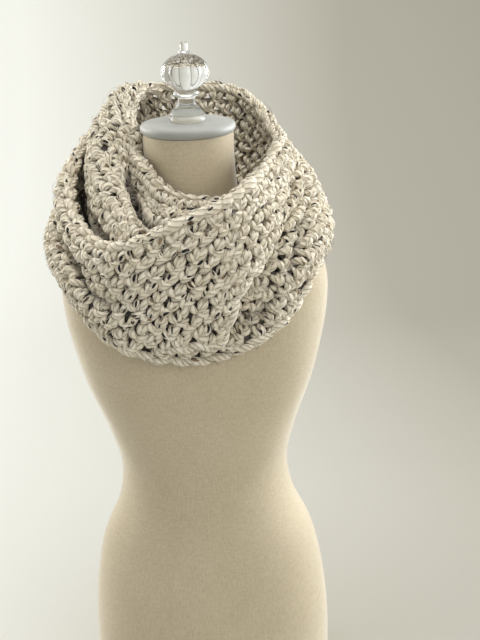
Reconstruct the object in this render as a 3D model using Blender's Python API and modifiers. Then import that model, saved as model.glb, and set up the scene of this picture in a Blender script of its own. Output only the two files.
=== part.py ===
"""Infinity scarf, crocheted in thick oatmeal tweed yarn and wound twice round a limbless dress form.

Metres, +Z up. The origin is the middle of the form's flat base. The front faces -Y, and the
viewer's right is +X. The scarf is one closed band that goes twice round the neck: over the
chest, up round the nape as a tall collar, under itself across the chest, and low round the back.
"""
import math
from collections import namedtuple

import bmesh
import bpy
import numpy as np
from mathutils import Matrix

CM = 0.01
SEAT = 0.0003

# Yarn cloth
WALL = 0.008
ROWS = 12
RIB = 0.0016
TURNS = 720.0
CUT_TURNS = (-100, 80, 260, 440)
STRETCHES = ("scarf_front_over", "scarf_collar_back", "scarf_front_under", "scarf_low_back")
STATIONS_PER_STRETCH = 26
POINTS_PER_ROW = 2
POINTS_ACROSS_CURVE = 240
EDGE_BULGE = 0.3 * WALL
FULL_ROW = 0.011
SHARP_ANGLE = math.radians(50)

# Neck, cap and finial, measured along the neck's own axis, which leans forward
NECK_LEAN = math.radians(10.5)
NECK_FOOT_HEIGHT = 0.665
NECK_SET_FORWARD = 0.003
NECK_TOP = 0.0700
BODY_RINGS = 36
BODY_SIDES = 40
CAP_SIDES = 40
FOOT_SIDES = 28
TIP_SIDES = 20
FLUTES = 12
POINTS_PER_FLUTE = 6
BALL_RINGS = 11

Level = namedtuple("Level", "height half_width half_depth forward")
Ring = namedtuple("Ring", "radius height")
Station = namedtuple("Station", "turn rim upper crest side lower hem")

# Dress form, in centimetres
BODY = (
    Level(0.0, 14.8, 10.8, -0.6),
    Level(0.6, 15.2, 11.2, -0.6),
    Level(5.5, 15.4, 11.4, -0.7),
    Level(11.0, 15.4, 11.3, -0.8),
    Level(18.0, 14.7, 10.6, -0.6),
    Level(24.0, 13.3, 9.6, -0.2),
    Level(29.5, 10.9, 8.5, 0.2),
    Level(33.5, 10.4, 8.2, 0.3),
    Level(38.5, 11.6, 8.8, 0.4),
    Level(44.5, 13.8, 9.5, 0.5),
    Level(48.5, 14.8, 10.0, 0.6),
    Level(53.0, 15.6, 10.2, 0.6),
    Level(57.0, 15.6, 10.1, 0.6),
    Level(60.0, 14.6, 9.3, 0.4),
    Level(62.8, 12.0, 8.2, 0.2),
    Level(65.0, 8.3, 6.6, 0.2),
    Level(66.3, 6.1, 5.6, 0.3),
)

# The neck above the body, in centimetres along the neck's axis
NECK = (Ring(5.45, 0.6), Ring(5.25, 1.8), Ring(5.15, 4.2), Ring(5.15, 6.6), Ring(5.00, NECK_TOP / CM))

# Turned pieces, in centimetres from the cap's underside or from its top
CAP = (
    Ring(0.0, 1.12), Ring(4.85, 1.12), Ring(5.15, 1.02), Ring(5.33, 0.82), Ring(5.38, 0.58),
    Ring(5.33, 0.34), Ring(5.18, 0.12), Ring(4.95, 0.0), Ring(0.0, 0.0),
)
FOOT = (
    Ring(0.0, 3.40), Ring(1.05, 3.40), Ring(1.28, 3.28), Ring(1.45, 3.05), Ring(1.40, 2.82), Ring(1.12, 2.70),
    Ring(0.95, 2.52), Ring(1.00, 2.28), Ring(1.06, 2.02), Ring(1.30, 1.62), Ring(1.66, 1.24), Ring(1.84, 1.08),
    Ring(1.94, 0.90), Ring(1.84, 0.74), Ring(1.96, 0.54), Ring(2.05, 0.30), Ring(2.00, 0.0), Ring(0.0, 0.0),
)
TIP = (
    Ring(0.0, 1.26), Ring(0.22, 1.22), Ring(0.38, 1.06), Ring(0.42, 0.80), Ring(0.36, 0.50), Ring(0.34, 0.34),
    Ring(0.58, 0.28), Ring(0.62, 0.18), Ring(0.56, 0.09), Ring(0.36, 0.0), Ring(0.0, 0.0),
)
BALL_RADIUS = 0.0262
BALL_HALF_HEIGHT = 0.0194
BALL_FLAT = 0.0074
FLUTE_DEPTH = 0.0013

# The band's sections, in centimetres: the turn in degrees from the front, then (radius, height)
# of six points across the cloth from its rim, which is the edge worn uppermost, to its hem.
BAND = (
    Station(-90, (15.3, 68.0), (15.7, 66.4), (14.5, 65.0), (16.3, 63.9), (17.1, 61.8), (16.9, 58.9)),
    Station(-75, (15.3, 65.5), (15.9, 64.2), (14.7, 62.7), (16.4, 61.8), (17.1, 60.0), (16.8, 58.3)),
    Station(-60, (15.0, 64.2), (15.8, 62.8), (14.7, 61.3), (16.3, 60.0), (16.8, 58.0), (16.2, 55.9)),
    Station(-45, (14.6, 62.8), (15.3, 61.1), (14.8, 59.4), (15.8, 57.8), (15.9, 55.6), (15.3, 53.1)),
    Station(-30, (14.2, 62.7), (14.7, 60.8), (14.8, 58.4), (14.9, 56.0), (14.7, 53.5), (14.1, 51.1)),
    Station(-15, (13.9, 63.6), (14.2, 61.4), (14.3, 58.9), (14.2, 56.2), (14.0, 53.6), (13.5, 51.3)),
    Station(0, (13.6, 65.0), (13.9, 62.6), (14.0, 59.9), (13.9, 57.2), (13.7, 54.4), (13.4, 51.8)),
    Station(11, (13.3, 66.0), (13.7, 63.3), (13.8, 60.4), (13.8, 57.4), (13.7, 54.6), (13.4, 52.3)),
    Station(18, (13.0, 66.7), (13.5, 64.5), (13.8, 62.2), (14.0, 59.7), (13.9, 57.8), (13.4, 56.7)),
    Station(30, (12.2, 68.0), (12.9, 66.2), (13.5, 64.2), (13.7, 62.4), (13.5, 60.8), (12.9, 59.9)),
    Station(45, (10.9, 69.0), (11.8, 67.6), (12.4, 66.2), (12.8, 64.6), (12.5, 63.2), (11.7, 63.0)),
    Station(60, (10.1, 69.8), (11.0, 69.2), (11.6, 68.2), (11.7, 67.1), (11.2, 66.2), (10.3, 66.2)),
    Station(75, (10.2, 71.3), (11.0, 70.7), (11.4, 69.8), (11.3, 68.9), (10.6, 68.4), (9.7, 68.5)),
    Station(90, (10.6, 72.2), (11.2, 71.4), (11.4, 70.5), (11.0, 69.8), (10.1, 69.5), (9.2, 69.7)),
    Station(105, (10.6, 73.3), (11.0, 71.8), (11.0, 70.1), (10.6, 68.5), (9.7, 67.0), (8.6, 65.9)),
    Station(120, (10.5, 75.6), (10.8, 73.6), (10.8, 71.6), (10.4, 69.6), (9.6, 67.7), (8.5, 66.1)),
    Station(135, (10.5, 77.4), (10.7, 74.9), (10.6, 72.4), (10.2, 70.1), (9.4, 67.9), (8.3, 65.9)),
    Station(150, (10.7, 78.7), (10.7, 76.1), (10.4, 73.4), (9.9, 70.8), (9.1, 68.3), (8.1, 65.9)),
    Station(180, (10.4, 79.3), (10.4, 76.6), (10.1, 73.9), (9.6, 71.2), (8.9, 68.6), (7.9, 66.2)),
    Station(195, (10.1, 79.3), (10.5, 78.2), (10.7, 76.2), (10.5, 73.5), (10.0, 70.7), (9.2, 67.9)),
    Station(210, (9.7, 78.7), (10.3, 79.3), (11.0, 78.2), (11.3, 75.2), (11.1, 71.7), (10.4, 68.2)),
    Station(225, (8.8, 77.2), (9.4, 78.5), (10.4, 78.7), (11.7, 76.3), (12.0, 72.3), (11.5, 68.0)),
    Station(240, (7.7, 75.3), (8.2, 76.9), (9.5, 77.6), (11.6, 75.4), (12.3, 71.9), (12.0, 67.0)),
    Station(255, (6.7, 73.3), (7.0, 74.9), (8.3, 75.9), (11.0, 74.8), (12.5, 71.6), (12.4, 66.0)),
    Station(270, (6.0, 71.8), (6.1, 73.0), (7.1, 73.9), (10.2, 73.3), (12.2, 70.4), (12.5, 65.4)),
    Station(285, (6.15, 71.0), (6.7, 69.9), (7.7, 70.5), (10.4, 71.0), (12.2, 68.6), (12.6, 64.3)),
    Station(300, (6.6, 70.4), (7.4, 68.0), (8.6, 68.4), (11.2, 68.4), (12.7, 66.0), (12.6, 62.2)),
    Station(315, (7.0, 70.0), (8.1, 66.0), (9.4, 66.2), (11.5, 66.1), (12.8, 63.5), (12.8, 59.5)),
    Station(330, (7.15, 68.2), (8.5, 65.0), (10.4, 64.5), (12.0, 62.6), (12.7, 58.8), (12.7, 50.9)),
    Station(345, (7.2, 66.9), (9.0, 64.8), (11.0, 63.3), (12.1, 60.2), (12.4, 55.6), (12.2, 49.9)),
    Station(360, (7.2, 66.1), (8.8, 65.1), (10.7, 63.1), (11.8, 59.5), (12.2, 54.6), (11.9, 49.7)),
    Station(375, (7.4, 65.9), (9.0, 64.9), (10.9, 62.6), (12.0, 59.0), (12.2, 54.7), (12.2, 50.3)),
    Station(390, (8.0, 65.6), (9.6, 64.1), (10.9, 61.3), (12.6, 57.4), (12.4, 55.0), (12.9, 51.4)),
    Station(405, (8.65, 64.7), (10.1, 63.4), (11.9, 61.1), (14.3, 58.6), (13.6, 56.8), (14.2, 53.1)),
    Station(420, (9.4, 64.5), (11.3, 64.3), (13.5, 62.8), (15.3, 60.5), (14.4, 59.0), (15.1, 56.4)),
    Station(435, (10.4, 66.7), (12.1, 67.0), (14.0, 65.2), (15.7, 62.5), (15.2, 60.6), (15.6, 58.7)),
    Station(450, (12.1, 69.0), (13.4, 68.1), (14.8, 65.5), (16.0, 62.7), (16.2, 60.8), (16.1, 58.8)),
    Station(465, (12.3, 70.8), (13.6, 69.0), (14.9, 66.0), (15.8, 63.0), (16.0, 60.5), (15.7, 58.6)),
    Station(480, (12.1, 72.4), (13.2, 69.9), (14.1, 66.6), (14.6, 63.3), (14.5, 60.6), (14.0, 58.3)),
    Station(510, (11.9, 74.0), (12.5, 71.2), (12.8, 67.7), (12.6, 64.1), (12.0, 61.0), (11.3, 58.2)),
    Station(540, (11.7, 74.7), (12.1, 72.0), (12.1, 68.7), (11.8, 65.2), (11.1, 61.8), (10.2, 58.6)),
    Station(570, (12.5, 74.9), (12.9, 72.2), (13.0, 68.8), (12.8, 65.3), (12.2, 61.8), (11.5, 58.6)),
    Station(600, (13.9, 73.6), (14.4, 71.1), (14.8, 68.1), (15.0, 64.9), (14.8, 61.9), (14.2, 59.0)),
    Station(615, (14.9, 71.0), (15.4, 69.0), (14.8, 67.0), (16.2, 65.1), (16.8, 62.4), (16.6, 59.2)),
)


def clear_scene():
    """Start from an empty scene."""
    for item in list(bpy.data.objects):
        bpy.data.objects.remove(item, do_unlink=True)


def make_material(name, colour, roughness, metallic=0.0, transmission=0.0):
    """A plain Principled material in the part's own colour."""
    material = bpy.data.materials.new(name)
    material.use_nodes = True
    shader = material.node_tree.nodes["Principled BSDF"]
    shader.inputs["Base Color"].default_value = (*colour, 1.0)
    shader.inputs["Roughness"].default_value = roughness
    shader.inputs["Metallic"].default_value = metallic
    shader.inputs["Transmission Weight"].default_value = transmission
    return material


def add_object(name, mesh, material, group):
    """Put a mesh into the model's collection as one named piece."""
    item = bpy.data.objects.new(name, mesh)
    mesh.materials.append(material)
    group.objects.link(item)
    return item


def spline(knots, values, places):
    """Cubic through rows of values at uneven knots, read at the given places."""
    knots = np.asarray(knots, float)
    values = np.asarray(values, float)
    slopes = np.zeros_like(values)
    rise = np.diff(values, axis=0) / np.diff(knots)[:, None]
    left, right = np.diff(knots)[:-1, None], np.diff(knots)[1:, None]
    slopes[1:-1] = (rise[:-1] * right + rise[1:] * left) / (left + right)
    slopes[0], slopes[-1] = rise[0], rise[-1]
    places = np.atleast_1d(np.asarray(places, float))
    i = np.clip(np.searchsorted(knots, places, side="right") - 1, 0, len(knots) - 2)
    step = (knots[i + 1] - knots[i])[:, None]
    t = (places - knots[i])[:, None] / step
    return (
        (2 * t**3 - 3 * t**2 + 1) * values[i]
        + (t**3 - 2 * t**2 + t) * step * slopes[i]
        + (3 * t**2 - 2 * t**3) * values[i + 1]
        + (t**3 - t**2) * step * slopes[i + 1]
    )


def loft(name, rings, caps):
    """A closed skin over rings with equal numbers of points; caps lists the faces at each end."""
    shell = bmesh.new()
    rows = [[shell.verts.new(point) for point in ring] for ring in rings]
    count = len(rows[0])
    for low, high in zip(rows[:-1], rows[1:]):
        for k in range(count):
            after = (k + 1) % count
            shell.faces.new((low[k], low[after], high[after], high[k]))
    for row in (rows[0], rows[-1]):
        for corners in caps:
            shell.faces.new([row[k] for k in corners])
    bmesh.ops.recalc_face_normals(shell, faces=shell.faces)
    mesh = bpy.data.meshes.new(name)
    shell.to_mesh(mesh)
    shell.free()
    mesh.shade_smooth()
    mesh.set_sharp_from_angle(angle=SHARP_ANGLE)
    return mesh


def add_turned(name, profile, sides, material, group, axis, height):
    """A turned piece on the neck's axis: a profile swept round Z by a Screw modifier."""
    points = [(ring.radius * CM, 0.0, ring.height * CM) for ring in profile]
    mesh = bpy.data.meshes.new(name)
    mesh.from_pydata(points, [(k, k + 1) for k in range(len(points) - 1)], [])
    item = add_object(name, mesh, material, group)
    screw = item.modifiers.new("Turn", "SCREW")
    screw.axis = "Z"
    screw.angle = 2 * math.pi
    screw.steps = screw.render_steps = sides
    screw.use_merge_vertices = True
    screw.merge_threshold = 0.00001
    item.parent = axis
    item.location = (0.0, 0.0, height)
    return item


def oval(half_width, half_depth, centre_y, height, sides):
    """Points round a level oval."""
    turn = np.linspace(0.0, 2 * math.pi, sides, endpoint=False)
    x = half_width * np.sin(turn)
    y = centre_y - half_depth * np.cos(turn)
    return np.stack([x, y, np.full(sides, height)], axis=1)


def add_body(material, group, axis_matrix):
    """The form's body and neck, one smooth closed solid under linen."""
    levels = np.array(BODY) * CM
    heights = np.linspace(levels[1, 0], levels[-1, 0], BODY_RINGS)
    rows = spline(levels[1:, 0], levels[1:, 1:], heights)
    rings = [oval(levels[0, 1], levels[0, 2], -levels[0, 3], levels[0, 0], BODY_SIDES)]
    for height, (half_width, half_depth, forward) in zip(heights, rows):
        rings.append(oval(half_width, half_depth, -forward, height, BODY_SIDES))
    for ring in NECK:
        circle = oval(ring.radius * CM, ring.radius * CM, 0.0, ring.height * CM, BODY_SIDES)
        flat = np.hstack([circle, np.ones((BODY_SIDES, 1))])
        rings.append((flat @ np.array(axis_matrix).T)[:, :3])
    mesh = loft("form_body", rings, [list(range(BODY_SIDES))])
    return add_object("form_body", mesh, material, group)


def add_ball(material, group, axis, height):
    """The finial's ball, a flattened sphere of convex flutes with a small flat at each end."""
    sides = FLUTES * POINTS_PER_FLUTE
    turn = np.linspace(0.0, 2 * math.pi, sides, endpoint=False)
    groove = 1.0 - np.abs(np.cos(0.5 * FLUTES * turn))
    reach = math.acos(BALL_FLAT / BALL_RADIUS)
    rings = []
    for latitude in np.linspace(-reach, reach, BALL_RINGS):
        radius = BALL_RADIUS * math.cos(latitude)
        depth = FLUTE_DEPTH * math.cos(latitude)
        around = radius - depth * groove
        level = np.full(sides, BALL_HALF_HEIGHT * math.sin(latitude))
        rings.append(np.stack([around * np.sin(turn), -around * np.cos(turn), level], axis=1))
    item = add_object("finial_ball", loft("finial_ball", rings, [list(range(sides))]), material, group)
    item.parent = axis
    item.location = (0.0, 0.0, height + BALL_HALF_HEIGHT * math.sin(reach))
    return item


def band_controls(turn):
    """The six (radius, height) points of the band's section at any turn, in metres."""
    knots = [row.turn for row in BAND]
    values = [[part for point in row[1:] for part in point] for row in BAND]
    knots = [knots[-2] - TURNS, knots[-1] - TURNS, *knots, knots[0] + TURNS, knots[1] + TURNS]
    values = [values[-2], values[-1], *values, values[0], values[1]]
    place = (turn - BAND[0].turn) % TURNS + BAND[0].turn
    return spline(knots, values, place).reshape(6, 2) * CM


def across(controls, count):
    """Even steps along a smooth curve through the controls: points, outward normals and length."""
    reach = [0.0]
    for a, b in zip(controls[:-1], controls[1:]):
        reach.append(reach[-1] + math.dist(a, b))
    fine = spline(reach, controls, np.linspace(0.0, reach[-1], POINTS_ACROSS_CURVE))
    length = np.concatenate([[0.0], np.cumsum(np.linalg.norm(np.diff(fine, axis=0), axis=1))])
    even = np.linspace(0.0, length[-1], count)
    points = np.stack([np.interp(even, length, fine[:, k]) for k in (0, 1)], axis=1)
    along = np.gradient(points, axis=0)
    along /= np.linalg.norm(along, axis=1, keepdims=True)
    normals = np.stack([-along[:, 1], along[:, 0]], axis=1)
    return points, normals, along, length[-1]


def wall_section(turn):
    """One closed section of the cloth: ribbed outside, plain inside, rounded rim and hem."""
    count = ROWS * POINTS_PER_ROW + 1
    points, normals, along, length = across(band_controls(turn), count)
    ribs = np.arange(count) % POINTS_PER_ROW * RIB * min(1.0, length / (ROWS * FULL_ROW))
    outside = points + normals * (WALL / 2 + ribs)[:, None]
    inside = (points - normals * WALL / 2)[::POINTS_PER_ROW]
    hem_tip = points[-1] + along[-1] * EDGE_BULGE
    rim_tip = points[0] - along[0] * EDGE_BULGE
    return np.vstack([outside, hem_tip, inside[::-1], rim_tip])


def section_caps():
    """Faces that close a cut end of the cloth, strip by strip across the wall."""
    last = ROWS * POINTS_PER_ROW
    total = last + ROWS + 4
    caps = []
    for row in range(ROWS):
        first = row * POINTS_PER_ROW
        over = list(range(first, first + POINTS_PER_ROW + 1))
        under = [total - 2 - (row + 1), total - 2 - row]
        caps.append(over + under)
    caps.append([last, last + 1, last + 2])
    caps.append([total - 2, total - 1, 0])
    return caps


def add_stretch(name, start, end, material, group):
    """One stretch of the band between two cuts, parted from its neighbours by a seam's width."""
    rings = []
    turns = np.linspace(start, end, STATIONS_PER_STRETCH)
    for turn in turns:
        section = wall_section(turn)
        angle = math.radians(turn)
        outward = np.array([math.sin(angle), -math.cos(angle), 0.0])
        onward = np.array([math.cos(angle), math.sin(angle), 0.0])
        ring = section[:, :1] * outward + section[:, 1:] * np.array([0.0, 0.0, 1.0])
        if turn == start:
            ring = ring + onward * SEAT / 2
        if turn == end:
            ring = ring - onward * SEAT / 2
        rings.append(ring)
    return add_object(name, loft(name, rings, section_caps()), material, group)


def main():
    clear_scene()
    group = bpy.data.collections.new("infinity_scarf")
    bpy.context.scene.collection.children.link(group)
    yarn = make_material("oatmeal_tweed_yarn", (0.60, 0.54, 0.44), 0.9)
    linen = make_material("cream_linen", (0.62, 0.54, 0.42), 0.85)
    paint = make_material("grey_white_paint", (0.70, 0.72, 0.70), 0.35)
    glass = make_material("clear_glass", (0.95, 0.97, 0.98), 0.03, transmission=1.0)

    axis = bpy.data.objects.new("neck_axis", None)
    axis.location = (0.0, -NECK_SET_FORWARD, NECK_FOOT_HEIGHT)
    axis.rotation_euler = (NECK_LEAN, 0.0, 0.0)
    group.objects.link(axis)
    axis_matrix = Matrix.Translation(axis.location) @ Matrix.Rotation(NECK_LEAN, 4, "X")

    add_body(linen, group, axis_matrix)
    add_turned("neck_cap", CAP, CAP_SIDES, paint, group, axis, NECK_TOP + SEAT)
    foot_height = NECK_TOP + SEAT + CAP[0].height * CM + SEAT
    add_turned("finial_foot", FOOT, FOOT_SIDES, glass, group, axis, foot_height)
    ball_height = foot_height + FOOT[0].height * CM + SEAT
    ball = add_ball(glass, group, axis, ball_height)
    tip_height = 2 * ball.location.z - ball_height + SEAT
    add_turned("finial_tip", TIP, TIP_SIDES, glass, group, axis, tip_height)

    cuts = [*CUT_TURNS, CUT_TURNS[0] + TURNS]
    for name, start, end in zip(STRETCHES, cuts[:-1], cuts[1:]):
        add_stretch(name, start, end, yarn, group)


main()
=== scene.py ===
"""Looks of an infinity scarf crocheted in thick oatmeal tweed yarn, on a limbless dress form.

The scarf's middle surface is worked out from sections that lie close to those of its solids. Every
stitch is a cluster of plump yarn loops laid on that surface, row by row from the rim, with real gaps
between. A thin sheet behind them, with openings of its own, stands for the wool deep in the cloth;
its dark tone is painted shade, as is the darkening of the wool deep in creases.
"""
import math
from collections import namedtuple

import bpy
import numpy as np
from mathutils import Matrix, Vector


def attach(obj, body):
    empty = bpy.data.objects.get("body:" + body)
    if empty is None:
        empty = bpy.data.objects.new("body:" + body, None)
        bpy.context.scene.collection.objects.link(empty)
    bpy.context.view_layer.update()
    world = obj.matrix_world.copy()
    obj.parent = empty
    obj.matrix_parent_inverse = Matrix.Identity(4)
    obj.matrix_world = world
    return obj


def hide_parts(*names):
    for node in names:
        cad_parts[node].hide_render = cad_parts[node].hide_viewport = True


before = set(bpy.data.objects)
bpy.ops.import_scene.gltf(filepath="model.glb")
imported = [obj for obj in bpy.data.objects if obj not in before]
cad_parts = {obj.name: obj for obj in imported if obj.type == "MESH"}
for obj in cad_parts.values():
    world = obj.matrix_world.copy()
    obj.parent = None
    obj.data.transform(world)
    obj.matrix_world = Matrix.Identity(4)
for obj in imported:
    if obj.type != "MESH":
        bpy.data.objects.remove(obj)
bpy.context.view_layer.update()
pieces = bpy.data.collections.new("scarf_on_form")
stage = bpy.data.collections.new("stage")
for group in (pieces, stage):
    bpy.context.scene.collection.children.link(group)

CM = 0.01
MM = 0.001

# How far apart seated pieces stand
SEAT = 0.0003

Level = namedtuple("Level", "height half_width half_depth forward")
Ring = namedtuple("Ring", "radius height")
Station = namedtuple("Station", "turn rim upper crest side lower hem")
Crease = namedtuple("Crease", "turn reach half_width depth")
Loop = namedtuple("Loop", "along0 down0 out0 along1 down1 out1 width lift bow")
Fleck = namedtuple("Fleck", "seed colour least")
Light = namedtuple("Light", "name place target size power colour")

# The band: two turns of 360 degrees round the neck, cut into four stretches
TURNS = 720.0
CUT_TURNS = (-100, 80, 260, 440, 620)
STRETCHES = ("front_over", "collar_back", "front_under", "low_back")
TURN_STEP = 1.0
REACH_STEP = 0.001
SECTION_POINTS = 300
EDGE_CURL = 0.0025
CURL_REACH = 0.007
SEED = 11

# The turns between which the hem is folded under and doesn't show
HEM_FOLDED = (70, 120)

# Stitches
STITCH = 0.0220
ROWS_ACROSS = 12
ROW_LEAST = 0.0135
ROW_MOST = 0.0165
EDGE_ROOM = 0.0038
HEM_ROOM = 0.002
LOOP_RINGS = 8
LOOP_SIDES = 8

# How unevenly the loops lie: shares of a stitch or of a row, then millimetres, then shares of a width
JITTER = 0.07
HEIGHT_JITTER = 0.25
CHAIN_JITTER = 0.4
LOOP_WIDTHS = (0.92, 1.10)
CHAIN_WIDTHS = (0.95, 1.08)

# A loop of yarn: how far its ends dip in millimetres, then as shares of its width its thickness,
# the width that it swells from and how far its tips stand out, then how it swells and arches
END_DIP = 1.5
THICKNESS = 0.94
END_WIDTH = 0.20
END_TIP = 0.10
END_SLOPE = 0.05
END_TAPER = 0.75
LOOP_ARCH = 1.3

# A loop that spans more of a stitch than this bows across the row, and any other along it
FLAT_SPAN = 0.5

# Each loop's wool starts at a random place on a strand of this length, in metres
STRAND_LENGTH = 50.0

# Neck, cap and finial, measured along the neck's own axis, which leans forward
NECK_LEAN = math.radians(10.5)
NECK_FOOT_HEIGHT = 0.665
NECK_SET_FORWARD = 0.003
NECK_TOP = 0.0700

# Dress form, in centimetres
BODY = (
    Level(0.0, 14.8, 10.8, -0.6),
    Level(0.6, 15.2, 11.2, -0.6),
    Level(5.5, 15.4, 11.4, -0.7),
    Level(11.0, 15.4, 11.3, -0.8),
    Level(18.0, 14.7, 10.6, -0.6),
    Level(24.0, 13.3, 9.6, -0.2),
    Level(29.5, 10.9, 8.5, 0.2),
    Level(33.5, 10.4, 8.2, 0.3),
    Level(38.5, 11.6, 8.8, 0.4),
    Level(44.5, 13.8, 9.5, 0.5),
    Level(48.5, 14.8, 10.0, 0.6),
    Level(53.0, 15.6, 10.2, 0.6),
    Level(57.0, 15.6, 10.1, 0.6),
    Level(60.0, 14.6, 9.3, 0.4),
    Level(62.8, 12.0, 8.2, 0.2),
    Level(65.0, 8.3, 6.6, 0.2),
    Level(66.3, 6.1, 5.6, 0.3),
)

# The neck above the body, in centimetres along the neck's axis
NECK = (Ring(5.45, 0.6), Ring(5.25, 1.8), Ring(5.15, 4.2), Ring(5.15, 6.6), Ring(5.00, NECK_TOP / CM))

# Turned pieces, in centimetres from the cap's underside or from its top
CAP = (
    Ring(0.0, 1.12), Ring(4.85, 1.12), Ring(5.15, 1.02), Ring(5.33, 0.82), Ring(5.38, 0.58),
    Ring(5.33, 0.34), Ring(5.18, 0.12), Ring(4.95, 0.0), Ring(0.0, 0.0),
)
FOOT = (
    Ring(0.0, 3.40), Ring(1.05, 3.40), Ring(1.28, 3.28), Ring(1.45, 3.05), Ring(1.40, 2.82),
    Ring(1.12, 2.70), Ring(0.95, 2.52), Ring(1.00, 2.28), Ring(1.06, 2.02), Ring(1.30, 1.62),
    Ring(1.66, 1.24), Ring(1.84, 1.08), Ring(1.94, 0.90), Ring(1.84, 0.74), Ring(1.96, 0.54),
    Ring(2.05, 0.30), Ring(2.00, 0.0), Ring(0.0, 0.0),
)
TIP = (
    Ring(0.0, 1.26), Ring(0.22, 1.22), Ring(0.38, 1.06), Ring(0.42, 0.80), Ring(0.36, 0.50), Ring(0.34, 0.34),
    Ring(0.58, 0.28), Ring(0.62, 0.18), Ring(0.56, 0.09), Ring(0.36, 0.0), Ring(0.0, 0.0),
)

# The finial's ball, flat on its top and its underside, with flutes round it
FLUTES = 12
FLUTE_POINTS = 24
FLUTE_DEPTH = 0.0013
BALL_RINGS = 33
BALL_RADIUS = 0.0262
BALL_HALF_HEIGHT = 0.0194
BALL_FLAT = 0.0074
BALL_REACH = math.acos(BALL_FLAT / BALL_RADIUS)

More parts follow.
